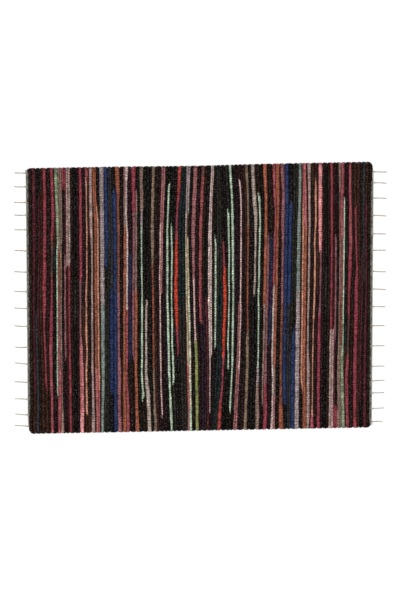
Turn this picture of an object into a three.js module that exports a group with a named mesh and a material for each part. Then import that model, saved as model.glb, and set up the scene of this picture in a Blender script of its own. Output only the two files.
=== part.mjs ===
// A woven rag rug that lies flat: a cloth of rag picks, a narrow cotton heading at each end,
// and a comb of knotted warp tassels past each heading.
// Millimetres, +Z up. X runs along the rug, from the left end to the right one. Y runs across it.
import * as THREE from "three";

// The woven cloth
const WIDTH = 690; // across the rug, from one selvedge to the other
const FAR_EDGE_LENGTH = 905; // along the selvedge at +Y
const LEFT_LEAN = 7; // the left end's near corner lies this much further left than its far corner
const RIGHT_LEAN = 18; // the same for the right end, so that the near selvedge is shorter
const CLOTH_THICKNESS = 6.5;
const PICK_WIDTH = 8.4; // one rag pick, which turns at the selvedge in one scallop
const SCALLOP_BULGE = 1.2;
const CORNER_RADIUS = 12; // where the last rags wrap round the end
const HEADED_CORNER_RADIUS = 6; // where the heading reaches the selvedge

// The cotton headings, which stop short of one corner of each end
const HEADING_WIDTH = 6;
const HEADING_THICKNESS = 3.2;
const HEADING_TUCK = 4; // from the selvedge to the heading's covered end
const HEADING_SLANT = 2; // how much further its outer edge is cut back there
const BARE_CORNER = 42; // from the other selvedge to where the heading starts

// The tassels
const SPINE_WIDTH = 1.8; // the row of half hitches that joins the tassels along the end
const FRINGE_THICKNESS = 2.4;
const KNOT_WIDTH = 4.4;
const KNOT_LENGTH = 4;
const KNOT_SHOULDER = 1.3; // how far in from its ends the knot reaches its full width
const TASSEL_WIDTH = 3;
const TIP_WIDTH = 2.2;
const TIP_TAPER = 3;
const SPINE_OVERHANG = 3; // how far the spine runs past its first and last tassel

const GAP = 0.3; // between neighbouring pieces

// One row for each tassel. root and tip are distances from the selvedge at +Y, where the tassel
// leaves the end of the rug and where it stops. reach is how far it lies past the end.
const LEFT_TASSELS = [
  { root: 11.5, tip: 10.5, reach: 31.5 },
  { root: 47, tip: 46, reach: 33 },
  { root: 88, tip: 86.5, reach: 34 },
  { root: 121, tip: 120, reach: 33 },
  { root: 159, tip: 158, reach: 33 },
  { root: 215, tip: 213, reach: 34 },
  { root: 270, tip: 267.5, reach: 35 },
  { root: 321, tip: 319, reach: 35 },
  { root: 365, tip: 363, reach: 35 },
  { root: 411.5, tip: 409, reach: 36 },
  { root: 466, tip: 465, reach: 34 },
  { root: 510, tip: 506, reach: 35 },
  { root: 558, tip: 555, reach: 37 },
  { root: 602, tip: 600, reach: 36 },
  { root: 642.5, tip: 639, reach: 36 },
  { root: 672, tip: 669, reach: 37 },
];
const RIGHT_TASSELS = [
  { root: 25, tip: 26.5, reach: 37 },
  { root: 54, tip: 56, reach: 37 },
  { root: 94, tip: 95.5, reach: 37 },
  { root: 139, tip: 141.5, reach: 37 },
  { root: 187, tip: 188.5, reach: 36 },
  { root: 230, tip: 230.5, reach: 36 },
  { root: 284.5, tip: 287, reach: 37 },
  { root: 331, tip: 333.5, reach: 37 },
  { root: 377, tip: 378, reach: 36 },
  { root: 427, tip: 427.5, reach: 34 },
  { root: 479.5, tip: 480, reach: 34 },
  { root: 533, tip: 533, reach: 35 },
  { root: 571, tip: 570, reach: 35 },
  { root: 602, tip: 602, reach: 35 },
  { root: 643, tip: 642, reach: 34 },
  { root: 677, tip: 677.5, reach: 31 },
];

const RAG_COLOUR = 0x4a3436;
const HEADING_COLOUR = 0xa8a898;
const FRINGE_COLOUR = 0xcfc8b8;
const CLOTH_ROUGHNESS = 0.95;

// The two ends of the rug. Each turns a distance past the end, and one from the far selvedge,
// into a place on the plan. Negative distances past the end lie on the rug.
const leftEnd = (past, down) => new THREE.Vector2(-LEFT_LEAN * (down / WIDTH) - past, WIDTH / 2 - down);
const rightEnd = (past, down) =>
  new THREE.Vector2(FAR_EDGE_LENGTH - RIGHT_LEAN * (down / WIDTH) + past, WIDTH / 2 - down);

// A rounded corner of the cloth between an end and a selvedge, from the selvedge to the end.
function corner(end, selvedge, radius, inset) {
  const inward = selvedge === 0 ? 1 : -1;
  const steps = 5;
  const points = [];
  for (let step = 0; step <= steps; step += 1) {
    const angle = (step / steps) * (Math.PI / 2);
    const past = -inset - radius * (1 - Math.sin(angle));
    const down = selvedge + inward * (SCALLOP_BULGE + (radius - SCALLOP_BULGE) * (1 - Math.cos(angle)));
    points.push(end(past, down));
  }
  return points;
}

// The scalloped selvedge between two points of the plan, which it leaves out. Each pick turns
// in one low arch, and outward is +1 for the selvedge at +Y and -1 for the other.
function scallops(from, to, outward) {
  const length = from.distanceTo(to);
  const picks = Math.round(length / PICK_WIDTH);
  const pointsPerPick = 3;
  const points = [];
  for (let step = 1; step < picks * pointsPerPick; step += 1) {
    const point = from.clone().lerp(to, step / (picks * pointsPerPick));
    point.y += outward * SCALLOP_BULGE * Math.abs(Math.sin((Math.PI * step) / pointsPerPick));
    points.push(point);
  }
  return points;
}

// The cloth's outline, clockwise from its far left corner. A heading takes the place of the
// cloth's edge at each end, except at the bare corner, where the rags wrap round the end.
function clothOutline() {
  const inset = HEADING_WIDTH + GAP;
  const farLeft = corner(leftEnd, 0, HEADED_CORNER_RADIUS, inset);
  const farRight = corner(rightEnd, 0, CORNER_RADIUS, 0);
  const nearRight = corner(rightEnd, WIDTH, HEADED_CORNER_RADIUS, inset);
  const nearLeft = corner(leftEnd, WIDTH, CORNER_RADIUS, 0);
  return [
    ...farLeft.toReversed(),
    ...scallops(farLeft[0], farRight[0], 1),
    ...farRight,
    rightEnd(0, BARE_CORNER - GAP),
    rightEnd(-inset, BARE_CORNER - GAP),
    ...nearRight.toReversed(),
    ...scallops(nearRight[0], nearLeft[0], -1),
    ...nearLeft,
    leftEnd(0, WIDTH - BARE_CORNER + GAP),
    leftEnd(-inset, WIDTH - BARE_CORNER + GAP),
  ];
}

// A heading's outline. Its outer edge is cut back at the end that the selvedge covers.
function headingOutline(end, from, to, outerFrom, outerTo) {
  return [end(0, outerFrom), end(-HEADING_WIDTH, from), end(-HEADING_WIDTH, to), end(0, outerTo)];
}

// A fringe's outline: one spine along the end with a tooth for each tassel.
function fringeOutline(end, tassels) {
  const first = tassels[0];
  const last = tassels[tassels.length - 1];
  const spine = GAP + SPINE_WIDTH;
  const points = [end(GAP, first.root - SPINE_OVERHANG), end(spine, first.root - SPINE_OVERHANG)];
  for (const { root, tip, reach } of tassels) {
    const knotEnd = spine + KNOT_LENGTH;
    const centre = (past) => root + ((tip - root) * (past - spine)) / (reach - spine);
    const side = (past, width) => end(past, centre(past) + width / 2);
    points.push(
      side(spine, -TASSEL_WIDTH),
      side(spine + KNOT_SHOULDER, -KNOT_WIDTH),
      side(knotEnd - KNOT_SHOULDER, -KNOT_WIDTH),
      side(knotEnd, -TASSEL_WIDTH),
      side(reach - TIP_TAPER, -TASSEL_WIDTH),
      side(reach, -TIP_WIDTH),
      side(reach, TIP_WIDTH),
      side(reach - TIP_TAPER, TASSEL_WIDTH),
      side(knotEnd, TASSEL_WIDTH),
      side(knotEnd - KNOT_SHOULDER, KNOT_WIDTH),
      side(spine + KNOT_SHOULDER, KNOT_WIDTH),
      side(spine, TASSEL_WIDTH),
    );
  }
  points.push(end(spine, last.root + SPINE_OVERHANG), end(GAP, last.root + SPINE_OVERHANG));
  return points;
}

// A flat piece of even thickness that lies on the floor.
function layer(name, outline, thickness, colour) {
  const geometry = new THREE.ExtrudeGeometry(new THREE.Shape(outline), {
    depth: thickness,
    bevelEnabled: false,
  });
  const material = new THREE.MeshStandardMaterial({
    color: colour,
    roughness: CLOTH_ROUGHNESS,
    metalness: 0,
  });
  const mesh = new THREE.Mesh(geometry, material);
  mesh.name = name;
  return mesh;
}

const leftFrom = HEADING_TUCK;
const leftTo = WIDTH - BARE_CORNER;
const leftHeading = headingOutline(leftEnd, leftFrom, leftTo, leftFrom + HEADING_SLANT, leftTo);
const rightFrom = BARE_CORNER;
const rightTo = WIDTH - HEADING_TUCK;
const rightHeading = headingOutline(rightEnd, rightFrom, rightTo, rightFrom, rightTo - HEADING_SLANT);

const rug = new THREE.Group();
rug.add(
  layer("rug_cloth", clothOutline(), CLOTH_THICKNESS, RAG_COLOUR),
  layer("heading_left", leftHeading, HEADING_THICKNESS, HEADING_COLOUR),
  layer("heading_right", rightHeading, HEADING_THICKNESS, HEADING_COLOUR),
  layer("fringe_left", fringeOutline(leftEnd, LEFT_TASSELS), FRINGE_THICKNESS, FRINGE_COLOUR),
  layer("fringe_right", fringeOutline(rightEnd, RIGHT_TASSELS), FRINGE_THICKNESS, FRINGE_COLOUR),
);

// The origin is on the floor, under the middle of the rug's box.
const middle = new THREE.Box3().setFromObject(rug).getCenter(new THREE.Vector3());
for (const mesh of rug.children) {
  mesh.position.set(-middle.x, -middle.y, 0);
}

export default rug;
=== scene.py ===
import math

import bpy
import numpy as np
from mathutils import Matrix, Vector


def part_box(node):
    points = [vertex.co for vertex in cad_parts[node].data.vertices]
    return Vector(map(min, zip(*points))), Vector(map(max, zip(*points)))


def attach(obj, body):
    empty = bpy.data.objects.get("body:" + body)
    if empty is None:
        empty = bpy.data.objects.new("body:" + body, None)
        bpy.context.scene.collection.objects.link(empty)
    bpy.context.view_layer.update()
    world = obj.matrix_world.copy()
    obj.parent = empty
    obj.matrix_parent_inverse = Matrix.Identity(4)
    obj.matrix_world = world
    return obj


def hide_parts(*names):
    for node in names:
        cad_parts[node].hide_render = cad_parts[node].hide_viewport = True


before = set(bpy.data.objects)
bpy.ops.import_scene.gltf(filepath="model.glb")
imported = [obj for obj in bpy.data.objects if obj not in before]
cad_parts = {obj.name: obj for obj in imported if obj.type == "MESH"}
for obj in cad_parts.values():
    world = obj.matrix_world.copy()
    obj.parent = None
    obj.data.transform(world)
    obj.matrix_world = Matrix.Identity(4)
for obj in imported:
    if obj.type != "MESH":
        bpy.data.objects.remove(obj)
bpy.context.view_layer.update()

# A woven rag rug, with every rag pick, warp, heading row and tassel modelled as the strand that it is.
# The weave is worked out in millimetres on the rug's own plan: x runs from the left end to the right
# one, and down from the far selvedge to the near one. place() turns the plan into the frame's metres.

MM = 0.001
PLAN_LENGTH = 900.0  # from the left end to the right one, at every height
LEFT_LEAN = 7.0  # how much further left the left end's near corner lies
RIGHT_LEAN = 18.0  # the same for the right end
CLOTH_LOW, CLOTH_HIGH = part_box("rug_cloth")
WIDTH = (CLOTH_HIGH[1] - CLOTH_LOW[1]) / MM
MIDDLE_HEIGHT = 3.25  # of the weave, above the floor
RAG_STRETCHES = 5  # the pieces that the cloth's rags are modelled in

# The warps
WARPS = 220
WARP_INSET = 5.0  # from a selvedge to the outermost warp
WARP_RADIUS = 0.42
EDGE_WARP_RADIUS = 0.85  # the outermost warp is a doubled one
EDGE_WARP_TONE = 2.6  # how much lighter it is, as it lies in the open, without the painted shade of the other warps' colour
WARP_STANDOFF = 0.15  # how far a warp's middle lies outside the rag it crosses, over its radius
WARP_TONES = 0.1  # how much a warp's lightness varies, as a share

# The rag picks
PICK_SIDES = 8
PICK_SQUARENESS = 2.5  # the exponent of a pick's flattened section
PICK_OVERLAP = 1.04  # a pick's width over its slot, since packed rags overlap
LEAST_OVERLAP = 1.03  # the same for two neighbours, so that no hole is left between them
PICK_RISE = 0.55  # how far a pick climbs over one warp and dives under the next
PICK_PINCH = 0.07  # how much narrower a pick is where a warp crosses over it
PICK_FLATTENING = 0.05  # how much thinner it is there
CROSSING_SHADE = 0.2  # how much less light reaches it there
CROSSING_VARIETY = 1.0  # how unevenly it does
THINNEST_PICK = 0.95  # half the thickness of a pick without width
PICK_PLUMPNESS = 0.13  # how much that grows with each millimetre of the pick's width
THICKEST_PICK = 2.25  # and the most that it grows to
NARROWEST_SLOT = 0.8
WIDTH_VARIETY = 0.08  # how unevenly wide and thick a pick is, as shares of its size
THICKNESS_VARIETY = 0.05
HEIGHT_VARIETY = 0.08  # how far up or down it strays, in millimetres
TIP_STATIONS = (0.0, 0.8, 2.4)  # distances from the selvedge, where a pick's end is rounded off
TIP_WIDTHS = (0.62, 0.9, 1.0)  # of its full width
TIP_LEANS = (0.3, 0.16, 0.03)  # of a slot, towards the pick that the rag turns back into
FAR_SWELL = 1.0  # how far the picks bulge past the selvedges' straight lines
NEAR_SWELL = 2.3
SAG = 1.8  # how far the far selvedge is drawn in near its middle
SAG_MIDDLE = 430.0  # from the left end
SAG_REACH = 130.0  # along the rug, to either side
SWELL_REACH = 30.0  # how far from a selvedge its bulge and sag are spread

# The ends of the rug
HEADING_WIDTH = 6.0
HEADING_ROWS = 4
HEADING_ROW_RADIUS = 0.74
HEADING_HEIGHT = 1.6  # of its rows' middles above the floor
HEADING_RISE = 0.55  # how far a row climbs and dives
HEADING_FLATNESS = 1.1  # a row's width over its height
HEADING_TIP = 0.5  # the size of a row's two ends
HEADING_VARIETY = 0.06  # how much a row's size and lightness vary, as shares
HEADING_TONES = 0.12
HEADING_SWAY = 0.12  # how far it wavers, and over how many millimetres for each radian
HEADING_SWAY_REACH = 9.0
HEADING_SWAY_STARTS = 6.0  # in radians, from 0 to this
HEADING_TUCK = 4.0  # from the selvedge to the heading's covered end
HEADING_SLANT = 2.0  # how much further its outer edge is cut back there
BARE_CORNER = 42.0  # from the selvedge to where a heading starts, at the corner without one
CORNER_RADIUS = 13.0
HEADED_CORNER_RADIUS = 6.0
HEADING_GAP = 0.3  # between a heading and the hitches past it
CURL_RADIUS = 0.75  # of the cotton's end, which curls out at a corner
CURL_RINGS = 22
CURL_TONE = 1.15
CURL_ROUNDING = (-0.5, -0.25, 0.25, 0.5)  # the places round each one that it is averaged with
# Places along the curl: how far past the end, how far from the selvedge, and the height
CURL = (
    (-3, 16, 2.0), (-1, 13, 2.2), (1.8, 10, 1.6), (2.8, 7, 1.2),
    (1.2, 4.4, 1.6), (-2.5, 3.4, 2.4), (-5, 3.6, 2.6),
)

# The fabrics that the rags were torn from, as they look in the rug: red, green and blue from 0 to 255
DYES = {
    "black": (25, 20, 20), "brown_black": (40, 25, 20),
    "plum_black": (40, 20, 25), "green_black": (20, 20, 15),
    "blue_black": (20, 20, 25), "charcoal": (40, 40, 35),
    "slate": (50, 50, 55), "teal": (25, 40, 40),
    "brown": (60, 35, 25), "maroon": (60, 25, 20),
    "wine": (80, 35, 40), "plum": (45, 30, 40),
    "purple": (55, 30, 60), "navy": (40, 45, 70),
    "blue": (40, 55, 95), "crimson": (135, 60, 70),
    "brick": (150, 65, 60), "scarlet": (175, 65, 50),
    "coral": (165, 95, 95), "rose": (145, 75, 80),
    "mauve": (130, 85, 90), "rose_brown": (90, 60, 55),
    "dusty_pink": (145, 95, 95), "light_pink": (195, 130, 130),
    "pale_pink": (180, 150, 145), "rust": (125, 75, 60),
    "orange": (145, 85, 65), "peach": (175, 125, 105),
    "tan": (120, 100, 85), "taupe": (130, 105, 95),
    "pale_taupe": (150, 125, 120), "greige": (140, 125, 125),
    "oatmeal": (155, 140, 130), "cream": (170, 150, 145),
    "khaki": (165, 150, 125), "ivory": (170, 165, 145),
    "sage": (125, 135, 110), "grey": (115, 125, 120),
    "mint": (155, 170, 150), "lime": (125, 130, 80),
}
FADING = 0.1  # how much lighter or darker one rag of a fabric may be than another
DYE_PIVOT = 0.06  # a grey, as linear light, that looks the same in the weave as on its own
DYE_DEPTH = 1.22  # how much further from it a dye is than it looks in the weave's shade
LUMINANCE = (0.21, 0.72, 0.07)  # how bright red, green and blue light look
DYE_RICHNESS = 1.07  # how much stronger its colour is than it looks beside its neighbours

# How far down the rug the bands' edges are given, in %
HEIGHTS = (0, 25, 50, 75, 100)

# The bands of picks, from the left end to the middle. Each has its left edge, in millimetres at those
# heights, where the first one has the rug's end. Each pick is one line of rags, from the far selvedge to
# the near one. A rag is given by where it ends, in % down the rug, its fabric and its width in
# millimetres before its band squeezes it, and by a second fabric if its right side shows another.
BANDS = [
    (None, [
        "100 brown_black 8.5",
        "40 wine 9.5, 85 wine 7, 100 brown 7",
        "12 black 5, 32 plum_black 5, 55 black 5.5, 100 slate 7",
        "10 black 5, 65 wine 5, 100 brown_black 5",
        "50 brown 7, 100 brown 9",
    ]),
    ((42, 42, 38, 44, 46), [
        "57 crimson 9.5, 83 crimson 4.5, 100 brown 8",
        "35 brown_black 10.5, 65 brown_black 8.5, 100 brown_black 5",
        "27 crimson 9, 42 rose_brown 5.5, 52 crimson 5, 66 crimson 8.5, 100 rose 7",
        "22 black 1.5, 30 brown 7, 38 teal 8, 82 green_black 7.5, 100 plum_black 9",
    ]),
    ((71, 77, 76, 75, 76), [
        "28 sage 9.5, 40 mint 3, 86 mint 4, 100 plum_black 2",
        "31 taupe 4.5, 48 rust 6.5, 72 rose 5, 84 rose 8, 100 rose 9.5",
        "31 taupe 5, 72 taupe 4, 92 taupe 2, 100 taupe 9",
        "8 crimson 5, 72 black 5.5, 100 plum_black 5.5",
        "8 crimson 5, 33 wine 5, 72 mauve 5, 100 plum_black 5",
    ]),
    ((102, 102, 101, 102, 103), [
        "37 pale_taupe 5.5, 100 maroon 5",
        "37 pale_taupe 5.5, 72 crimson 5.5, 100 crimson 7.5",
        "100 brown_black 7.5",
        "45 green_black 7, 60 charcoal 7, 100 green_black 7",
        "100 plum_black 7",
    ]),
    ((136, 136, 136, 135, 136), [
        "43 crimson 7.5, 67 mauve 4.5, 93 coral 8.5 light_pink, 100 light_pink 9",
        "52 plum_black 8, 73 brown 8, 100 maroon 3",
        "5 rose 9, 42 peach 3, 65 peach 4.5, 93 peach 4, 100 brown 6",
        "5 brown 1.5, 28 brown 4.5, 93 brown_black 8, 100 brown 8",
        "27 pale_taupe 7.5, 47 pale_taupe 4.5, 93 pale_taupe 5, 100 pale_taupe 9",
    ]),
    ((170, 172, 172, 172, 176), [
        "15 wine 1, 48 brown_black 2.5, 100 plum_black 3",
        "15 orange 4.5, 76 orange 7, 100 coral 8",
        "15 orange 3.5, 84 peach 4.5, 100 coral 3",
        "15 black 8, 48 brown 2.5, 100 brown 3.5",
        "52 greige 11, 78 grey 9.5, 94 grey 8, 100 grey 9",
    ]),
    ((201, 202, 202, 202, 198), [
        "38 blue 9.5, 47 black 6, 82 charcoal 6, 100 charcoal 5.5",
        "32 slate 5, 47 charcoal 8, 100 charcoal 5",
        "32 slate 5.5, 47 slate 8.5, 85 blue 9, 100 blue_black 9",
    ]),
    ((220, 225, 225, 225, 224), [
        "9 blue_black 9, 54 blue 8.5, 100 blue 10",
        "4 orange 14, 9 orange 10.5, 47 rust 6, 73 mauve 7.5, 100 mauve 10",
        "4 black 10, 73 black 8, 94 maroon 5, 100 maroon 2.5",
    ]),
    ((252, 252, 250, 249, 248), [
        "12 dusty_pink 4, 23 taupe 2.5, 86 orange 5.5, 100 orange 9",
        "4 cream 8.5, 54 cream 4, 73 rose 5, 86 rose 3.5, 100 rose 7.5",
        "33 plum_black 8.5, 47 navy 8, 55 purple 7.5, 73 navy 7.5, 100 brown_black 12",
        "8 crimson 11, 17 crimson 7, 73 mauve 5, 100 brown_black 1.5",
    ]),
    ((284, 282, 280, 279, 281), [
        "9 black 1.5, 47 taupe 5.5, 92 orange 7.5, 100 orange 10",
        "22 black 7.5, 100 green_black 8.5",
        "17 taupe 10, 23 greige 7, 52 mint 4, 88 mint 5, 100 brown_black 9",
        "51 green_black 8, 78 brown_black 5, 100 brown_black 3.5",
        "51 black 7.5, 77 oatmeal 5.5, 100 oatmeal 10",
        "51 black 5.5, 82 black 12.5, 100 black 7",
    ]),
    ((326, 322, 326, 326, 330), [
        "37 tan 9, 46 rust 5.5, 57 orange 6, 77 rust 6, 93 tan 6, 100 tan 9",
        "22 brown_black 10.5, 58 brown_black 8, 100 brown 7",
        "100 plum_black 7",
        "22 dusty_pink 5.5, 94 pale_pink 4.5, 100 brown_black 5",
        "48 dusty_pink 5.5, 100 plum_black 5",
        "40 green_black 5, 100 plum_black 6.5",
        "30 black 3.5, 78 plum 5, 100 black 7",
    ]),
    ((370, 363, 363, 366, 373), [
        "7 green_black 5, 88 mint 4.5, 100 mint 6",
        "55 green_black 5, 100 green_black 3",
        "23 green_black 5.5, 82 mint 3.5, 100 charcoal 6.5",
        "29 black 6.5, 62 black 3.5, 100 black 6",
    ]),
    ((394, 386, 382, 392, 396), [
        "10 brick 11, 28 crimson 6, 61 scarlet 9, 71 crimson 6, 100 black 7",
        "55 teal 8, 100 charcoal 8",
        "15 teal 5, 50 teal 8, 100 charcoal 8",
    ]),
    ((415, 411, 412, 414, 417), [
        "58 black 1, 95 wine 2, 100 black 1",
        "18 greige 5, 27 oatmeal 4.5, 75 khaki 4.5, 100 coral 3.5",
        "18 greige 5, 27 rose_brown 5, 47 khaki 4.5, 92 ivory 5, 100 mint 5.5",
        "100 black 7.5",
    ]),
    ((434, 427, 433, 437, 439), [
        "32 dusty_pink 10.5, 43 dusty_pink 7, 66 pale_pink 4.5, 100 lime 9.5",
        "100 plum_black 8.5",
        "4 rose_brown 9, 44 rose 8.5 rust, 59 rose 7, 100 plum 9",
        "50 brown_black 7, 100 plum 6.5",
        "50 black 7, 100 wine 8",
    ]),
    ((480, 472, 471, 475, 475), [
        "8 cream 6, 93 cream 4.5, 100 plum_black 5",
        "8 cream 6, 72 cream 4.5, 100 black 6",
        "8 brown_black 2, 100 brown_black 6",
        "28 black 6, 69 mint 4.5, 100 black 6",
    ]),
]
SEAM = (493, 494, 494, 492, 483)  # where the turned half starts
TURNED_BANDS = 13  # the bands that come back on the right, turned by half a turn
SWING = 4.5  # how far the turned half is sheared near the middle, to either side
SWING_FULL_TO = 700.0  # where the shear starts to fade towards the right end
SWING_GONE_AT = 850.0
TURNED_SHIFT = 3.2  # how far right of its place the turned half lies
TURNED_SHIFT_FADES = (855.0, 893.0)  # where that fades out
TURNED_LEAN = 2.6  # how far left it leans at the far selvedge
TURNED_LEAN_REACH = 95.0  # how far down the rug that goes
EDGE_ROUNDING = 36.0  # over how many millimetres a band's edge turns at a charted height
LEFT_END = 5.0  # where the first pick starts beside a heading, which it bulges over
CORNER_END = 2.5  # the same beside the selvedge, where it covers the heading's end
BARE_END = 1.2  # the same at the corner without a heading
CORNER_END_FADES = (4.0, 16.0)  # from the selvedge, where it passes from CORNER_END to LEFT_END
BARE_END_STARTS = (-16.0, 3.0)  # past the heading's end, where it passes from LEFT_END to BARE_END
JOIN_LENGTH = 70.0  # over which one rag's width passes into the next one's
JOIN_SWELLS = (-0.45, 0.9)  # how much a pick grows to each side where two rags meet: least and most
JOIN_REACH = 5.0  # how far from the join
JOIN_SLANTS = (8.0, 26.0)  # how far a join slants across its pick: least and most
SIDE_DYE_FROM = 0.1  # where a second fabric starts, from -1 at a rag's left to 1 at its right
SWAYS = ((95, 0.3), (41, 0.2), (17, 0.2), (9, 0.12))  # how a pick wavers: each wave's length and size
SWAY_ROOM = 7.0  # picks narrower than this waver less
LEAST_SWAY = 0.1  # the share of their waver that even the narrowest ones keep

# Seeds of the random numbers
LAYOUT_SEED = 20
SIZES_SEED = 21
LEFT_HEADING_SEED = 22
RIGHT_HEADING_SEED = 23
WARPS_SEED = 24  # of the first set of warps, and the next number for the second one
LEFT_FRINGE_SEED = 26
RIGHT_FRINGE_SEED = 27
RAGS_SEED = 120  # and the number of a stretch's first pick is added to it


def rounded(values, reach):
    """Values along the picks, smoothed over about that many millimetres."""
    span = int(round(reach / STATION_STEP))
    kernel = np.hanning(span * 2 + 3)[1:-1]
    kernel /= kernel.sum()
    padded = np.pad(values, span, mode="edge")
    return np.convolve(padded, kernel, mode="valid")


def smoothstep(values, start, end):
    t = np.clip((values - start) / (end - start), 0, 1)
    return t * t * (3 - 2 * t)


def place(x, down, height):
    """A place on the plan, in millimetres, as a point of the frame in metres."""
    x, down, height = np.broadcast_arrays(x, down, height)
    share = down / WIDTH
    left = CLOTH_LOW[0] / MM + LEFT_LEAN * (1 - share)
    right = CLOTH_HIGH[0] / MM - RIGHT_LEAN * share
    along = left + (right - left) * x / PLAN_LENGTH
    return np.stack([along, CLOTH_HIGH[1] / MM - down, height], axis=-1) * MM


def add_object(name, data):
    """A new object of the scene."""
    made = bpy.data.objects.new(name, data)
    bpy.context.scene.collection.objects.link(made)
    return made


# The stations down the rug: the picks' rounded tips and each warp between them
CROSSINGS = np.linspace(WARP_INSET, WIDTH - WARP_INSET, WARPS)
STATION_STEP = CROSSINGS[1] - CROSSINGS[0]
TIPS = np.array(TIP_STATIONS)
STATIONS = np.r_[TIPS, CROSSINGS, WIDTH - TIPS[::-1]]
PERCENT = STATIONS / WIDTH * 100
FIRST_CROSSING = len(TIPS)


def rags_of(line):
    """The rags of a pick, from its line of the chart."""
    rags = []
    for rag in line.split(", "):
        end, dye, width, *side_dye = rag.split()
        rags.append((float(end), dye, float(width), *side_dye))
    return rags


def edge_line(edge):
    """A band's edge at every station, from its places at the charted heights."""
    return rounded(np.interp(PERCENT, HEIGHTS, edge), EDGE_ROUNDING)


def turned(edge):
    """A line of the left half after half a turn, with the swing of the right half."""
    line = PLAN_LENGTH - edge[::-1]
    fading = np.clip((SWING_GONE_AT - line) / (SWING_GONE_AT - SWING_FULL_TO), 0, 1)
    shift = TURNED_SHIFT * (1 - smoothstep(line, *TURNED_SHIFT_FADES))
    shift -= TURNED_LEAN * (1 - smoothstep(STATIONS, 0, TURNED_LEAN_REACH)) * fading
    return line + shift + SWING * (1 - 2 * STATIONS / WIDTH) * fading


def turned_picks(picks):
    """The picks of a band after half a turn."""
    made = []
    for pick in reversed(picks):
        start = 0
        rags = []
        for end, dye, width, *side_dye in pick:
            dyes = (side_dye[0], width, dye) if side_dye else (dye, width)
            rags.append((100 - start, *dyes))
            start = end
        made.append(rags[::-1])
    return made


def end_line():
    """Where the rags start at the left end, which rounds both corners."""
    past_heading = STATIONS - (WIDTH - BARE_CORNER)
    line = CORNER_END + (LEFT_END - CORNER_END) * smoothstep(STATIONS, *CORNER_END_FADES)
    line += (BARE_END - LEFT_END) * smoothstep(past_heading, *BARE_END_STARTS)
    line += corner_inset(STATIONS, HEADED_CORNER_RADIUS)
    return line + corner_inset(WIDTH - STATIONS, CORNER_RADIUS)


def band_lines():
    """All bands of the rug from left to right: the edges between them, and each one's picks."""
    left_end = end_line()
    edges = [left_end, *(edge_line(edge) for edge, _ in BANDS[1:]), edge_line(SEAM)]
    bands = [[rags_of(line) for line in picks] for _, picks in BANDS]
    for index in range(TURNED_BANDS - 1, -1, -1):
        edges.append(turned(edges[index]))
        bands.append(turned_picks(bands[index]))
    edges[-1] = PLAN_LENGTH - left_end[::-1]
    return edges, bands


def natural_width(pick):
    """The width of a line of rags at every station, before its band squeezes it."""
    width = np.full(len(STATIONS), pick[0][2])
    for before, after in zip(pick, pick[1:]):
        join = before[0] / 100 * WIDTH
        width += (after[2] - before[2]) * smoothstep(STATIONS, join - JOIN_LENGTH / 2, join + JOIN_LENGTH / 2)
    return width


def linear(colour):
    """A colour from 0 to 255 as linear light."""
    share = np.array(colour) / 255
    return np.where(share <= 0.04045, share / 12.92, ((share + 0.055) / 1.055) ** 2.4)


def dyed(name):
    """A rag's own colour, as linear light."""
    looks = linear(DYES[name])
    light = float(looks @ LUMINANCE)
    rich = np.maximum(light + (looks - light) * DYE_RICHNESS, 0)
    return rich * (light / DYE_PIVOT) ** (DYE_DEPTH - 1)


def layout():
    """The picks from left to right. Each has its lines of rags and its two sides at every station."""
    edges, bands = band_lines()
    random = np.random.default_rng(LAYOUT_SEED)
    lines = []
    picks = []
    for left, right, band in zip(edges, edges[1:], bands):
        widths = np.array([natural_width(pick) for pick in band])
        shares = np.cumsum(widths, axis=0) / widths.sum(axis=0)
        shares = np.vstack([np.zeros(len(STATIONS)), shares[:-1]])
        lines.extend(left + (right - left) * shares)
        picks.extend(band)
    lines = np.array([*lines, edges[-1]])
    slots = np.diff(lines, axis=0)
    room = np.minimum(slots[:-1], slots[1:])
    for index in range(1, len(lines) - 1):
        sway = 0
        for period, size in SWAYS:
            sway += size * np.sin(2 * math.pi * (STATIONS / period + random.random()))
        lines[index] += sway * np.clip(room[index - 1] / SWAY_ROOM, LEAST_SWAY, 1)
    for index, pick in enumerate(picks):
        for end, *_ in pick[:-1]:
            near = np.exp(-(((STATIONS - end / 100 * WIDTH) / JOIN_REACH) ** 2))
            lines[index] -= random.uniform(*JOIN_SWELLS) * near
            lines[index + 1] += random.uniform(*JOIN_SWELLS) * near
    return picks, lines


def corner_inset(distance, radius):
    """How far a rounded corner cuts in from the end, at a distance from the selvedge."""
    missing = np.clip(radius - distance, 0, radius)
    return radius - np.sqrt(radius * radius - missing * missing)


# The maps of a strand: the baking map's margins inside its cell, as shares of it, and the strip map
CELL_SIDE_MARGIN = 0.04
CELL_END_MARGIN = 0.01
STRIP_GIRTH = 4.2  # the width of the pattern round a strand, over half the strand's width
STRIP_STARTS = (37.0, 211.0)  # how far the pattern's start may be shifted, round and along it
ROUND = 2.0  # the exponent of a round section
START_RINGS = 3  # after how many rings it is clear which way a strand runs


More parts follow.
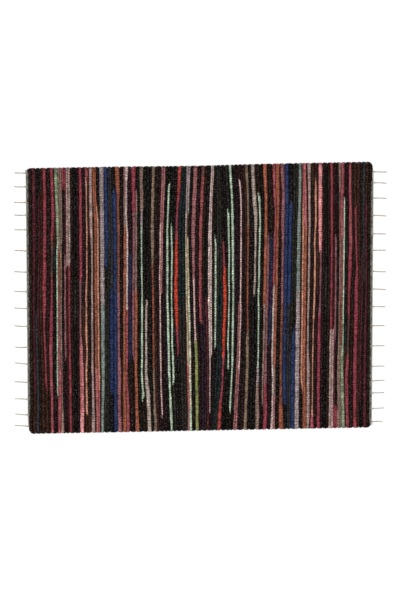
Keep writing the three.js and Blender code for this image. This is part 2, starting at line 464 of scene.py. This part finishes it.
class Bundle:
    """Strands gathered into one mesh, with a cell of the baking map for each strand."""

    def __init__(self, name, columns, rows=1):
        self.name = name
        self.columns = columns
        self.rows = rows
        self.strands = 0
        self.points = 0
        self.vertices = []
        self.corners = []
        self.sizes = []
        self.bake_map = []
        self.strip_map = []
        self.colours = []
        self.painted_exposures = []

    def add(self, path, side, up, half_width, half_height, sides, colour, shift, roundness=ROUND, lift=0.0):
        """Sweeps a rounded section along a path of points in metres. The half sizes are in millimetres.
        colour has a row for each ring, with one value or as many as there are sides."""
        rings = len(path)
        side = np.broadcast_to(side, (rings, 3))
        up = np.broadcast_to(up, (rings, 3))
        half_width = np.broadcast_to(half_width, rings) * MM
        half_height = np.broadcast_to(half_height, rings) * MM
        turn = np.arange(sides) / sides * 2 * math.pi
        across = np.sign(np.cos(turn)) * np.abs(np.cos(turn)) ** (2 / roundness)
        upward = np.sign(np.sin(turn)) * np.abs(np.sin(turn)) ** (2 / roundness)
        ring_side = side[:, None, :] * half_width[:, None, None] * across[None, :, None]
        ring_up = up[:, None, :] * half_height[:, None, None] * upward[None, :, None]
        self.vertices.append((path[:, None, :] + ring_side + ring_up).reshape(-1, 3))
        quads, caps = self.faces(rings, sides)
        forward = np.dot(np.cross(side[0], up[0]), path[START_RINGS] - path[0])
        if forward < 0:
            quads = quads[:, ::-1]
            caps = [cap[:, ::-1] for cap in caps]
        for faces in (quads, *caps):
            self.corners.append((faces + self.points).ravel())
            self.sizes.append(np.full(len(faces), faces.shape[1]))
        self.map_strand(path, quads, sides, half_width, shift)
        self.colours.append(np.broadcast_to(colour, (rings, sides, 4)).reshape(-1, 4))
        # The painted exposure, which the rag cloth paints as shade: darker towards the section's sides, where
        # it faces neither up nor down, and where the strand dives under a warp, by its lift
        open_share = 1 - CROSSING_SHADE * (1 - np.broadcast_to(lift, rings)) / 2
        self.painted_exposures.append((open_share[:, None] * np.abs(upward)[None, :]).ravel())
        self.points += rings * sides
        self.strands += 1

    def add_yarn(self, path, radius, tone, random, height=None, sides=6, side=(0, 1, 0), up=(0, 0, 1)):
        """A strand of yarn, lighter or darker by its tone. height is half its height, if not its radius."""
        rings = len(path)
        tone = np.broadcast_to(tone, rings)
        colour = np.stack([tone, tone, tone, np.full(rings, random.random())], axis=-1)[:, None, :]
        self.add(path, side, up, radius, radius if height is None else height, sides, colour, random.random())

    @staticmethod
    def faces(rings, sides):
        """The four-cornered faces round a strand, and the two that close its ends."""
        ring = np.arange(rings - 1)[:, None] * sides
        step = np.arange(sides)[None, :]
        after = (step + 1) % sides
        corners = [ring + step, ring + after, ring + sides + after, ring + sides + step]
        caps = [step[:, ::-1], (rings - 1) * sides + step]
        return np.stack(corners, axis=-1).reshape(-1, 4), caps

    def map_strand(self, path, quads, sides, half_width, shift):
        """Unrolls the strand: the baking map's cell, and the strip map in millimetres."""
        steps = np.linalg.norm(np.diff(path, axis=0), axis=1)
        along = np.r_[0, np.cumsum(steps)]
        corners = quads.reshape(-1)
        ring = corners // sides
        step = (corners % sides).astype(float).reshape(-1, 4)
        wraps = np.ptp(step, axis=1) > 1
        step[wraps] = np.where(step[wraps] == 0, sides, step[wraps])
        step = step.reshape(-1)
        column = self.strands % self.columns
        row = self.strands // self.columns
        cell_width = 1 - 2 * CELL_SIDE_MARGIN
        cell_height = 1 - 2 * CELL_END_MARGIN
        across = (column + CELL_SIDE_MARGIN + cell_width * step / sides) / self.columns
        upward = (row + CELL_END_MARGIN + cell_height * along[ring] / along[-1]) / self.rows
        self.bake_map.append(np.stack([across, upward], axis=-1))
        girth = STRIP_GIRTH * half_width.mean() / MM
        start_across, start_along = (shift * reach for reach in STRIP_STARTS)
        strip = [step / sides * girth + start_across, along[ring] / MM + start_along]
        self.strip_map.append(np.stack(strip, axis=-1))
        for end in (0, 1):
            spot = [(column + 0.5) / self.columns, (row + CELL_END_MARGIN + cell_height * end) / self.rows]
            self.bake_map.append(np.tile(spot, (sides, 1)))
            self.strip_map.append(np.tile([start_across, start_along + along[-1] / MM * end], (sides, 1)))

    def build(self, material):
        """The finished object."""
        corners = np.concatenate(self.corners)
        sizes = np.concatenate(self.sizes)
        starts = np.r_[0, np.cumsum(sizes)[:-1]]
        mesh = bpy.data.meshes.new(self.name)
        mesh.vertices.add(self.points)
        mesh.vertices.foreach_set("co", np.concatenate(self.vertices).astype(np.float32).ravel())
        mesh.loops.add(len(corners))
        mesh.loops.foreach_set("vertex_index", corners.astype(np.int32))
        mesh.polygons.add(len(sizes))
        mesh.polygons.foreach_set("loop_start", starts.astype(np.int32))
        mesh.polygons.foreach_set("use_smooth", np.ones(len(sizes), dtype=bool))
        mesh.update(calc_edges=True)
        for name, maps in (("OFBake", self.bake_map), ("Strip", self.strip_map)):
            layer = mesh.uv_layers.new(name=name)
            layer.data.foreach_set("uv", np.concatenate(maps).astype(np.float32).ravel())
        dye = mesh.color_attributes.new("dye", "FLOAT_COLOR", "POINT")
        dye.data.foreach_set("color", np.concatenate(self.colours).astype(np.float32).ravel())
        painted_exposure = mesh.attributes.new("painted_exposure", "FLOAT", "POINT")
        painted_exposure.data.foreach_set("value", np.concatenate(self.painted_exposures).astype(np.float32))
        mesh.materials.append(material)
        return add_object(self.name, mesh)


def weave_signs(index):
    """Whether a pick is over the warp, +1, or under it, -1, at every station, and 0 at its tips."""
    tip = np.zeros(len(TIPS))
    return np.r_[tip, np.cos(math.pi * (np.arange(WARPS) + index)), tip]


def pick_sizes(lines):
    """Half of each pick's width and thickness at every station, and the height of its middle."""
    random = np.random.default_rng(SIZES_SEED)
    slots = np.maximum(np.diff(lines, axis=0), NARROWEST_SLOT)
    signs = np.array([weave_signs(index) for index in range(len(slots))])
    unevenness = 1 + WIDTH_VARIETY * random.standard_normal(slots.shape)
    half_widths = slots / 2 * PICK_OVERLAP * (1 + PICK_PINCH * signs) * unevenness
    short = (slots[:-1] + slots[1:]) / 2 * LEAST_OVERLAP - (half_widths[:-1] + half_widths[1:])
    short = np.maximum(short, 0)
    half_widths[:-1] += short / 2
    half_widths[1:] += short / 2
    plump = THINNEST_PICK + PICK_PLUMPNESS * slots
    unevenness = 1 + THICKNESS_VARIETY * random.standard_normal(slots.shape)
    half_heights = np.minimum(plump, THICKEST_PICK) * (1 + PICK_FLATTENING * signs) * unevenness
    heights = MIDDLE_HEIGHT + PICK_RISE * signs + HEIGHT_VARIETY * random.standard_normal(slots.shape)
    return half_widths, half_heights, heights


def pick_colours(pick, random):
    """The dye of a line of rags, at every station and round the pick. Its fourth value is the rag's random
    number. The join of two rags slants across the pick."""
    colours = np.zeros((len(STATIONS), PICK_SIDES, 4))
    turn = np.arange(PICK_SIDES) / PICK_SIDES * 2 * math.pi
    across = np.cos(turn)[None, :]
    join = np.full((1, PICK_SIDES), -1.0)
    for end, dye, _, *side_dye in pick:
        here = STATIONS[:, None] > join
        colours[here] = [*dyed(dye) * random.uniform(1 - FADING, 1 + FADING), random.random()]
        if side_dye:
            colours[here & (across > SIDE_DYE_FROM), :3] = dyed(side_dye[0])
        slant = random.choice((-1, 1)) * random.uniform(*JOIN_SLANTS)
        join = end / 100 * WIDTH + slant * across / 2
    return colours


def make_rags(name, first, last, picks, lines, sizes, material):
    """A stretch of the cloth: its rag picks, from the first to before the last."""
    random = np.random.default_rng(RAGS_SEED + first)
    bundle = Bundle(name, columns=last - first)
    half_widths, half_heights, heights = sizes
    tips = np.r_[TIP_WIDTHS, np.ones(WARPS), TIP_WIDTHS[::-1]]
    leans = np.r_[TIP_LEANS, np.zeros(WARPS), np.negative(TIP_LEANS[::-1])]
    for index in range(first, last):
        far_way = 1 if index % 2 == 0 else -1
        slot = lines[index + 1] - lines[index]
        middle = (lines[index] + lines[index + 1]) / 2 + far_way * leans * slot
        bundle.add(
            place(middle, bulged(middle), heights[index]),
            side=(1, 0, 0),
            up=(0, 0, 1),
            half_width=half_widths[index] * tips,
            half_height=half_heights[index] * np.sqrt(tips),
            sides=PICK_SIDES,
            colour=pick_colours(picks[index], random),
            shift=random.random(),
            roundness=PICK_SQUARENESS,
            # lift: over or under each warp, with random variety; it sets the shade painted where a warp
            # crosses over the pick
            lift=weave_signs(index) + CROSSING_VARIETY * random.standard_normal(len(STATIONS)),
        )
    return bundle.build(material)


def bulged(middle):
    """The stations of a pick, stretched as far as the selvedges there."""
    far = SAG * math.exp(-(((middle[0] - SAG_MIDDLE) / SAG_REACH) ** 2)) - FAR_SWELL
    from_near = WIDTH - STATIONS
    down = STATIONS + far * np.clip(1 - STATIONS / SWELL_REACH, 0, 1)
    return down + NEAR_SWELL * np.clip(1 - from_near / SWELL_REACH, 0, 1)


def heading_extent(row, left):
    """Where one row of a heading starts and ends, down from the far selvedge."""
    cut_back = HEADING_TUCK + HEADING_SLANT * (1 - row / HEADING_ROWS)
    if left:
        return cut_back, WIDTH - BARE_CORNER
    return BARE_CORNER, WIDTH - cut_back


def heading_row_x(row, left):
    inset = HEADING_WIDTH * (row + 0.5) / HEADING_ROWS
    return inset if left else PLAN_LENGTH - inset


def make_heading(name, left, material):
    """The rows of cotton weft at one end, and the end of that cotton, which curls out at the selvedge."""
    random = np.random.default_rng(LEFT_HEADING_SEED if left else RIGHT_HEADING_SEED)
    bundle = Bundle(name, columns=HEADING_ROWS + 2)
    for row in range(HEADING_ROWS):
        start, stop = heading_extent(row, left)
        here = (STATIONS >= start) & (STATIONS <= stop)
        down = np.r_[start, STATIONS[here], stop]
        signs = np.r_[0, weave_signs(row)[here], 0]
        rings = len(down)
        sway = HEADING_SWAY * np.sin(down / HEADING_SWAY_REACH + random.random() * HEADING_SWAY_STARTS)
        plump = HEADING_ROW_RADIUS * (1 + HEADING_VARIETY * random.standard_normal(rings))
        plump[[0, -1]] *= HEADING_TIP
        tone = 1 + HEADING_TONES * random.standard_normal(rings)
        path = place(heading_row_x(row, left) + sway, down, HEADING_HEIGHT + HEADING_RISE * signs)
        bundle.add_yarn(path, plump * HEADING_FLATNESS, tone, random, height=plump, side=(1, 0, 0))
    add_curl(bundle, left, random)
    return bundle.build(material)


def add_curl(bundle, left, random):
    """The end of the heading's cotton, which loops round the corner and back under the first rag."""
    stops = np.arange(len(CURL))
    share = np.linspace(0, len(CURL) - 1, CURL_RINGS)
    past, down, height = [rounded_curve(share, stops, row) for row in zip(*CURL)]
    path = past_end(left, past, down if left else WIDTH - down, height)
    ahead = np.gradient(path, axis=0)
    side = np.stack([-ahead[:, 1], ahead[:, 0], np.zeros(len(path))], axis=-1)
    side /= np.linalg.norm(side, axis=1)[:, None]
    bundle.add_yarn(path, CURL_RADIUS, CURL_TONE, random, side=side)


def rounded_curve(share, stops, values):
    """Values between stops, along a line that is rounded at each stop."""
    straight = np.interp(share, stops, values)
    around = [np.interp(share + shift, stops, values) for shift in CURL_ROUNDING]
    return (straight + sum(around)) / (1 + len(around))


def heading_crossings(warp, left):
    """Where a warp crosses a heading's rows, from left to right, and its heights there."""
    rows = np.arange(HEADING_ROWS)
    rows = rows if left else rows[::-1]
    return heading_row_x(rows, left), HEADING_HEIGHT - HEADING_RISE * np.cos(math.pi * (warp + rows))


def make_warps(name, parity, lines, sizes, material):
    """Every second warp, each over and under the picks, and through the headings where they are."""
    random = np.random.default_rng(WARPS_SEED + parity)
    bundle = Bundle(name, columns=(WARPS + 1) // 2)
    _, half_heights, heights = sizes
    for warp in range(parity, WARPS, 2):
        station = FIRST_CROSSING + warp
        down = STATIONS[station]
        outermost = warp in (0, WARPS - 1)
        radius = EDGE_WARP_RADIUS if outermost else WARP_RADIUS
        signs = np.cos(math.pi * (warp + np.arange(len(heights))))
        beside = heights[:, station] - signs * (half_heights[:, station] + radius * WARP_STANDOFF)
        edges = lines[:, station]
        xs = np.r_[edges[0], (edges[:-1] + edges[1:]) / 2, edges[-1]]
        zs = np.r_[MIDDLE_HEIGHT, beside, MIDDLE_HEIGHT]
        for left in (True, False):
            start, stop = heading_extent(0, left)
            if start < down < stop:
                row_x, row_z = heading_crossings(warp, left)
                xs = np.r_[row_x, xs] if left else np.r_[xs, row_x]
                zs = np.r_[row_z, zs] if left else np.r_[zs, row_z]
        tone = (EDGE_WARP_TONE if outermost else 1) * (1 + WARP_TONES * random.standard_normal(len(xs)))
        bundle.add_yarn(place(xs, down, zs), radius, tone, random, sides=4)
    return bundle.build(material)


# The tassels, each with three distances: from the far selvedge to where it leaves the end, from the
# far selvedge to where it stops, and how far it reaches past the end
LEFT_TASSELS = [
    (11.5, 10.5, 31.5), (47, 46, 33), (88, 86.5, 34), (121, 120, 33),
    (159, 158, 33), (215, 213, 34), (270, 267.5, 35), (321, 319, 35),
    (365, 363, 35), (411.5, 409, 36), (466, 465, 34), (510, 506, 35),
    (558, 555, 37), (602, 600, 36), (642.5, 639, 36), (672, 669, 37),
]
RIGHT_TASSELS = [
    (25, 26.5, 37), (54, 56, 37), (94, 95.5, 37), (139, 141.5, 37),
    (187, 188.5, 36), (230, 230.5, 36), (284.5, 287, 37), (331, 333.5, 37),
    (377, 378, 36), (427, 427.5, 34), (479.5, 480, 34), (533, 533, 35),
    (571, 570, 35), (602, 602, 35), (643, 642, 34), (677, 677.5, 31),
]
TASSEL_START = -1.5  # past the end, so that it starts inside the rug
TASSEL_HEIGHT = 1.5  # of its middle at the knot, and how much lower it is at its tip
TASSEL_DROP = 0.25
TASSEL_SAG = 0.8  # how far it lies to one side of the straight line, at most
TASSEL_PLIES = 3
PLY_RADIUS = 0.72
PLY_VARIETY = 0.05
PLY_ORBIT = 0.68  # how far each ply lies from the tassel's middle
PLY_FLATNESS = 0.9  # how far upward, as a share of that
PLY_SHORTENING = 2.5  # how much shorter than the tassel a ply may be
PLY_RINGS = 30
TWIST_PITCH = 11.0
FRAY_LENGTH = 6.0
FRAY_OPENINGS = (0.2, 1.0)  # how much wider the plies' orbit is at the tip: least and most
FRAY_UNTWIST = 0.3
FRAY_THINNING = 0.55
FRAY_FIBRES = 5
FIBRE_RADIUS = 0.22
FIBRE_TAPER = 0.5
FIBRE_TONE = 1.05
FIBRE_LENGTHS = (0.7, 1.0)  # as shares of FRAY_LENGTH
FIBRE_STOPS = (-1.5, 0.0)  # past the tassel's reach
FIBRE_SPREAD = 1.3
FIBRE_BEND = 1.5  # the exponent of its way out to the side
FIBRE_LIFTS = (-0.8, 0.6)
FIBRE_RINGS = 8
KNOT_START = 2.1
KNOT_LENGTH = 4.0
KNOT_TURNS = 2.3
KNOT_HEIGHT = 1.95
KNOT_RADIUS = 1.25
KNOT_FLATNESS = 0.9
KNOT_YARN_RADIUS = 0.8
KNOT_YARN_FLATNESS = 0.85
KNOT_TONE = 0.96
KNOT_RINGS = 28
SPINE_RADIUS = 0.9  # of the row of hitches that joins the tassels
SPINE_HEIGHT = 1.15
SPINE_OVERHANG = 3.0  # past the first and the last tassel
SPINE_WAVE = 0.25
SPINE_WAVE_LENGTH = 6.2
SPINE_SWELL = 0.15  # of each hitch, of which there are two to a wave
SPINE_TONE = 0.9
SPINE_RINGS = 420
STRANDS_PER_TASSEL = TASSEL_PLIES + FRAY_FIBRES + 1


def past_end(left, past, down, height):
    """A point past the end of the rug."""
    return place(-past if left else PLAN_LENGTH + past, down, height)


def make_fringe(name, left, material):
    """The tassels at one end, and the row of hitches that joins them."""
    random = np.random.default_rng(LEFT_FRINGE_SEED if left else RIGHT_FRINGE_SEED)
    tassels = LEFT_TASSELS if left else RIGHT_TASSELS
    bundle = Bundle(name, columns=STRANDS_PER_TASSEL, rows=len(tassels) + 1)
    for root, tip, reach in tassels:
        add_tassel(bundle, left, root, tip, reach, random)
    add_spine(bundle, left, tassels, random)
    return bundle.build(material)


def add_tassel(bundle, left, root, tip, reach, random):
    """One tassel: its plies, its loose fibres and its knot."""
    sag = random.uniform(-TASSEL_SAG, TASSEL_SAG)

    def centre(past):
        """The tassel's middle at a distance past the end: how far down the rug, and its height."""
        share = (past - KNOT_START) / (reach - KNOT_START)
        down = root + (tip - root) * share + sag * np.sin(np.clip(share, 0, 1) * math.pi)
        return down, TASSEL_HEIGHT - TASSEL_DROP * np.clip(share, 0, 1)

    add_plies(bundle, left, centre, reach, random)
    add_fibres(bundle, left, centre, reach, random)
    add_knot(bundle, left, centre, random)


def add_plies(bundle, left, centre, reach, random):
    """The plies of a tassel, which untwist and thin out towards its tip."""
    phase = random.random() * 2 * math.pi
    for ply in range(TASSEL_PLIES):
        past = np.linspace(TASSEL_START, reach - random.uniform(0, PLY_SHORTENING), PLY_RINGS)
        down, height = centre(past)
        fray = smoothstep(past, reach - FRAY_LENGTH, reach)
        orbit = PLY_ORBIT * (1 + fray * random.uniform(*FRAY_OPENINGS))
        turn = phase + 2 * math.pi * (ply / TASSEL_PLIES + past / TWIST_PITCH * (1 - FRAY_UNTWIST * fray))
        radius = PLY_RADIUS * (1 - FRAY_THINNING * fray)
        radius = radius * (1 + PLY_VARIETY * random.standard_normal(len(past)))
        height = np.maximum(height + PLY_FLATNESS * orbit * np.sin(turn), radius)
        path = past_end(left, past, down + orbit * np.cos(turn), height)
        bundle.add_yarn(path, radius, 1, random)


def add_fibres(bundle, left, centre, reach, random):
    """The loose fibres at a tassel's tip."""
    share = np.linspace(0, 1, FIBRE_RINGS)
    for _ in range(FRAY_FIBRES):
        start = reach - random.uniform(*FIBRE_LENGTHS) * FRAY_LENGTH
        past = np.linspace(start, reach + random.uniform(*FIBRE_STOPS), FIBRE_RINGS)
        down, height = centre(past)
        spread = random.uniform(-1, 1) * FIBRE_SPREAD
        height = np.maximum(height + random.uniform(*FIBRE_LIFTS) * share, FIBRE_RADIUS)
        path = past_end(left, past, down + spread * share**FIBRE_BEND, height)
        bundle.add_yarn(path, FIBRE_RADIUS * (1 - FIBRE_TAPER * share), FIBRE_TONE, random, sides=4)


def add_knot(bundle, left, centre, random):
    """The overhand knot of a tassel: the yarn wound round it."""
    share = np.linspace(0, 1, KNOT_RINGS)
    past = KNOT_START + KNOT_YARN_RADIUS + share * (KNOT_LENGTH - 2 * KNOT_YARN_RADIUS)
    down, _ = centre(past)
    turn = 2 * math.pi * (KNOT_TURNS * share + random.random())
    radial = np.stack([np.zeros(len(share)), np.cos(turn), np.sin(turn)], axis=-1)
    around = radial * KNOT_RADIUS * MM * np.array([1, 1, KNOT_FLATNESS])
    path = past_end(left, past, down, KNOT_HEIGHT) + around
    height = KNOT_YARN_RADIUS * KNOT_YARN_FLATNESS
    bundle.add_yarn(path, KNOT_YARN_RADIUS, KNOT_TONE, random, height=height, side=(1, 0, 0), up=radial)


def add_spine(bundle, left, tassels, random):
    """The warps' ends, hitched along the end of the rug from the first tassel to the last."""
    first, last = tassels[0][0], tassels[-1][0]
    down = np.linspace(first - SPINE_OVERHANG, last + SPINE_OVERHANG, SPINE_RINGS)
    turn = down * 2 * math.pi / SPINE_WAVE_LENGTH
    wave = SPINE_WAVE * np.sin(turn)
    path = past_end(left, HEADING_GAP + SPINE_RADIUS + wave / 2, down, SPINE_HEIGHT + wave)
    radius = SPINE_RADIUS * (1 + SPINE_SWELL * np.sin(2 * turn))
    bundle.add_yarn(path, radius, SPINE_TONE, random, height=SPINE_RADIUS, side=(1, 0, 0))


class Shader:
    """A material under construction, in nodes."""

    def __init__(self, name, specular, sheen=0.0, sheen_roughness=0.5):
        self.material = bpy.data.materials.new(name)
        self.material.use_nodes = True
        self.tree = self.material.node_tree
        self.surface = self.tree.nodes["Principled BSDF"]
        self.surface.inputs["Specular IOR Level"].default_value = specular
        self.surface.inputs["Sheen Weight"].default_value = sheen
        self.surface.inputs["Sheen Roughness"].default_value = sheen_roughness

    def node(self, kind, settings=None, **inputs):
        """A node with settings, and inputs that are values or other nodes' sockets."""
        made = self.tree.nodes.new(kind)
        for key, value in (settings or {}).items():
            setattr(made, key, value)
        for key, value in inputs.items():
            self.set(made, key.replace("_", " "), value)
        return made

    def set(self, node, name, value):
        """Sets an input of a node, which is given by its name, or by its number as in i0."""
        numbered = name[0] == "i" and name[1:].isdigit()
        socket = node.inputs[int(name[1:]) if numbered else name]
        if isinstance(value, bpy.types.NodeSocket):
            self.tree.links.new(value, socket)
        else:
            socket.default_value = value

    def math(self, operation, first, second):
        return self.node("ShaderNodeMath", {"operation": operation}, i0=first, i1=second).outputs[0]

    def product(self, first, *others):
        for other in others:
            first = self.math("MULTIPLY", first, other)
        return first

    def relief(self, *layers):
        """A height made of several values, each with its share of it."""
        total, *others = [self.math("MULTIPLY", value, share) for value, share in layers]
        for other in others:
            total = self.math("ADD", total, other)
        return total

    def attribute(self, name):
        return self.node("ShaderNodeAttribute", {"attribute_name": name}).outputs

    def strip(self, across, along):
        """The unrolled strand's coordinates, scaled from millimetres."""
        source = self.node("ShaderNodeUVMap", {"uv_map": "Strip"})
        mapping = self.node("ShaderNodeMapping", Vector=source.outputs["UV"], Scale=(across, along, 1))
        return mapping.outputs["Vector"]

    def noise(self, vector, detail=2.0, roughness=0.5):
        made = self.node("ShaderNodeTexNoise", Vector=vector, Scale=1.0, Detail=detail, Roughness=roughness)
        return made.outputs["Fac"]

    def ranged(self, value, low, high, start=0.0, end=1.0):
        """A value that runs from start to end, spread from low to high."""
        made = self.node("ShaderNodeMapRange", Value=value)
        for key, number in (("From Min", start), ("From Max", end), ("To Min", low), ("To Max", high)):
            made.inputs[key].default_value = number
        return made.outputs["Result"]

    def vector(self, operation, first, **second):
        """A calculation with colours."""
        made = self.node("ShaderNodeVectorMath", {"operation": operation}, i0=first, **second)
        return made.outputs["Vector"]

    def finish(self, colour, roughness, height, distance):
        bump = self.node("ShaderNodeBump", Height=height, Distance=distance, Strength=1.0)
        self.set(self.surface, "Base Color", colour)
        self.set(self.surface, "Roughness", roughness)
        self.set(self.surface, "Normal", bump.outputs["Normal"])
        return self.material


UNEVEN = (0.3, 0.7)  # nearly all of a noise lies between these
DIRT_AND_SHADE_LEVELS = (0.68, 0.78)  # between these a noise turns a clean yarn dirty, which on the warps is painted shade as well
DIRT_AND_SHADE_REACH = 0.4  # how much lower both are where the share of dirt and painted shade is 1


def rag_material():
    """Torn strips of old dyed jersey: folded lengthwise, faded in patches, knitted, fuzzy and linted, with
    painted shade in its creases, down its sides and where warps cross it, and a painted sheen on its lint.
    """
    shader = Shader("rag_cloth", specular=0.01)
    dye = shader.attribute("dye")["Color"]
    painted_exposure = shader.attribute("painted_exposure")["Fac"]
    folds = shader.noise(shader.strip(0.6, 0.035), detail=3.0, roughness=0.55)
    fading = shader.noise(shader.strip(0.12, 0.03))
    knit = shader.node("ShaderNodeTexVoronoi", Vector=shader.strip(1.1, 0.75), Scale=1.0, Randomness=0.55)
    stitches = knit.outputs["Distance"]
    fuzz = shader.noise(shader.strip(2.6, 2.0), detail=3.0, roughness=0.65)
    tufts = shader.noise(shader.strip(0.33, 0.3), detail=1.0, roughness=0.6)
    shade = shader.product(
        # Painted shade in the creases of the folds, and painted light on their ridges
        shader.ranged(folds, 0.5, 1.42, *UNEVEN),
        shader.ranged(fading, 0.8, 1.2, *UNEVEN),
        shader.ranged(stitches, 1.12, 0.82),
        shader.ranged(fuzz, 0.85, 1.15, *UNEVEN),
        # Painted shade down each pick's sides and where warps cross over it
        shader.ranged(painted_exposure, 0.0, 1.0, 0.3, 0.92),
        shader.ranged(tufts, 0.52, 1.38, 0.36, 0.64),
    )
    # Light specks of lint, added to the colour with a painted sheen: they are brightest where the painted
    # exposure is highest, on the picks' tops
    lint_and_sheen_specks = shader.noise(shader.strip(0.36, 0.26), detail=1.5, roughness=0.6)
    lint_and_sheen_specks = shader.math("MULTIPLY", shader.ranged(lint_and_sheen_specks, 0.0, 0.06, 0.53, 0.66), painted_exposure)
    lint_and_sheen = shader.vector("SCALE", (1.0, 0.86, 0.8), Scale=lint_and_sheen_specks)
    colour = shader.vector("ADD", shader.vector("SCALE", dye, Scale=shade), i1=lint_and_sheen)
    height = shader.relief((folds, 1.1), (painted_exposure, 0.5), (stitches, -0.35), (fuzz, 0.25))
    return shader.finish(colour, shader.ranged(fuzz, 0.84, 0.98), height, distance=0.9 * MM)


def yarn_material(name, colour, dirt_and_shade, dirt_and_shade_share):
    """Twisted cotton yarn, with the fluff and dirt that it picks up, and, on the warps, painted shade in the
    dirt's dark colour.
    """
    shader = Shader(name, specular=0.2, sheen=0.1, sheen_roughness=0.4)
    slanting = {"wave_type": "BANDS", "bands_direction": "DIAGONAL"}
    twist = shader.strip(0.28, 0.2)
    wave = shader.node("ShaderNodeTexWave", slanting, Vector=twist, Scale=1.0, Distortion=0.6, Detail=1.0)
    ply = wave.outputs["Fac"]
    fibres = shader.noise(shader.strip(3.0, 0.8), detail=3.0, roughness=0.6)
    patches = shader.noise(shader.strip(0.3, 0.09), detail=3.0, roughness=0.6)
    dirt_and_shade_mask = shader.ranged(patches, 0, 1, *(level - DIRT_AND_SHADE_REACH * dirt_and_shade_share for level in DIRT_AND_SHADE_LEVELS))
    clean, dirt_and_shade_colour = ((*linear(paint), 1) for paint in (colour, dirt_and_shade))
    mix = shader.node("ShaderNodeMix", {"data_type": "RGBA"}, i0=dirt_and_shade_mask, i6=clean, i7=dirt_and_shade_colour)
    paint = shader.vector("MULTIPLY", mix.outputs[2], i1=shader.attribute("dye")["Color"])
    shade = shader.product(shader.ranged(ply, 0.82, 1.08), shader.ranged(fibres, 0.86, 1.14, *UNEVEN))
    paint = shader.vector("SCALE", paint, Scale=shade)
    height = shader.relief((ply, 0.6), (fibres, 0.3))
    return shader.finish(paint, shader.ranged(fibres, 0.8, 0.95), height, distance=0.35 * MM)


def floor_material():
    """A plain pale studio floor."""
    shader = Shader("floor", specular=0.1)
    shader.surface.inputs["Base Color"].default_value = FLOOR_COLOUR
    shader.surface.inputs["Roughness"].default_value = FLOOR_ROUGHNESS
    return shader.material


# The camera looks straight down from the photo's place
PHOTO_LONG_SIDE = 601  # in pixels, of the photo that the render matches
PHOTO_MIDDLE = (200.5, 300.5)
RUG_MIDDLE_IN_PHOTO = (199.8, 297.5)  # the middle of the cloth's four corners
PIXEL = 2.607  # millimetres on the rug
RUG_MIDDLE = (-2.5, 0.0)  # the same place in the frame, in millimetres
ROLL = math.radians(1.087)  # the rug's length rises by this much towards the right
LENS = 100.0
SENSOR = 36.0
RUG_TOP = 5.0  # the height at which a pixel has that size
FLOOR_SIZE = 80.0  # in metres, so that its edge lies far behind the rug
FLOOR_COLOUR = (0.94, 0.94, 0.94, 1)
FLOOR_ROUGHNESS = 0.95
FLOOR_HEIGHT = -0.0004  # in metres, just under the rug
LIGHT_STRENGTH = 2.55
LIGHT_WIDTH = 22  # in degrees, as are its turns about X and Y
LIGHT_TURNS = (-8, -8)
SURROUNDING_STRENGTH = 0.35


def make_camera():
    data = bpy.data.cameras.new("camera")
    data.lens = LENS
    data.sensor_width = SENSOR
    camera = add_object("camera", data)
    right = np.array([math.cos(ROLL), -math.sin(ROLL)])
    upward = np.array([math.sin(ROLL), math.cos(ROLL)])
    across = (PHOTO_MIDDLE[0] - RUG_MIDDLE_IN_PHOTO[0]) * PIXEL
    above = (RUG_MIDDLE_IN_PHOTO[1] - PHOTO_MIDDLE[1]) * PIXEL
    spot = np.array(RUG_MIDDLE) + across * right + above * upward
    height = PHOTO_LONG_SIDE * PIXEL * LENS / SENSOR + RUG_TOP
    camera.location = (spot[0] * MM, spot[1] * MM, height * MM)
    camera.rotation_euler = (0, 0, -ROLL)
    bpy.context.scene.camera = camera


def make_studio():
    """The floor, one broad soft light and a white surrounding."""
    bpy.ops.mesh.primitive_plane_add(size=FLOOR_SIZE, location=(0, 0, FLOOR_HEIGHT))
    floor = bpy.context.object
    floor.name = "floor"
    floor.data.materials.append(floor_material())
    sun = bpy.data.lights.new("soft_light", "SUN")
    sun.energy = LIGHT_STRENGTH
    sun.angle = math.radians(LIGHT_WIDTH)
    lamp = add_object("soft_light", sun)
    lamp.rotation_euler = (*np.radians(LIGHT_TURNS), 0)
    world = bpy.data.worlds.new("studio")
    world.use_nodes = True
    background = world.node_tree.nodes["Background"].inputs
    background["Color"].default_value = (1, 1, 1, 1)
    background["Strength"].default_value = SURROUNDING_STRENGTH
    scene = bpy.context.scene
    scene.world = world
    scene.view_settings.view_transform = "Standard"
    scene.view_settings.look = "None"


def make_rug():
    picks, lines = layout()
    sizes = pick_sizes(lines)
    rags = rag_material()
    # The warps' cotton is painted darker than it is, with much dark dirt, as painted shade of the crevices
    # between the picks that they lie in
    warp_cotton = yarn_material("warp_cotton", (110, 100, 90), dirt_and_shade=(30, 25, 20), dirt_and_shade_share=0.9)
    heading_cotton = yarn_material("heading_cotton", (145, 150, 140), dirt_and_shade=(70, 70, 60), dirt_and_shade_share=0.6)
    tassel_cotton = yarn_material("tassel_cotton", (196, 186, 172), dirt_and_shade=(150, 140, 126), dirt_and_shade_share=0.4)
    bounds = [round(len(picks) * step / RAG_STRETCHES) for step in range(RAG_STRETCHES + 1)]
    others = []
    for parity in (0, 1):
        warps = make_warps(f"warps_{parity + 1}", parity, lines, sizes, warp_cotton)
        others.append(warps)
    for side, left in (("left", True), ("right", False)):
        heading = make_heading(f"heading_rows_{side}", left, heading_cotton)
        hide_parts(f"heading_{side}")
        fringe = make_fringe(f"tassels_{side}", left, tassel_cotton)
        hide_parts(f"fringe_{side}")
        others += [heading, fringe]
    for piece in others:
        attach(piece, "root")
    for number, (first, last) in enumerate(zip(bounds, bounds[1:]), start=1):
        stretch = make_rags(f"rags_{number}", first, last, picks, lines, sizes, rags)
        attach(stretch, "root")
        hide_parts("rug_cloth")


make_camera()
make_studio()
make_rug()
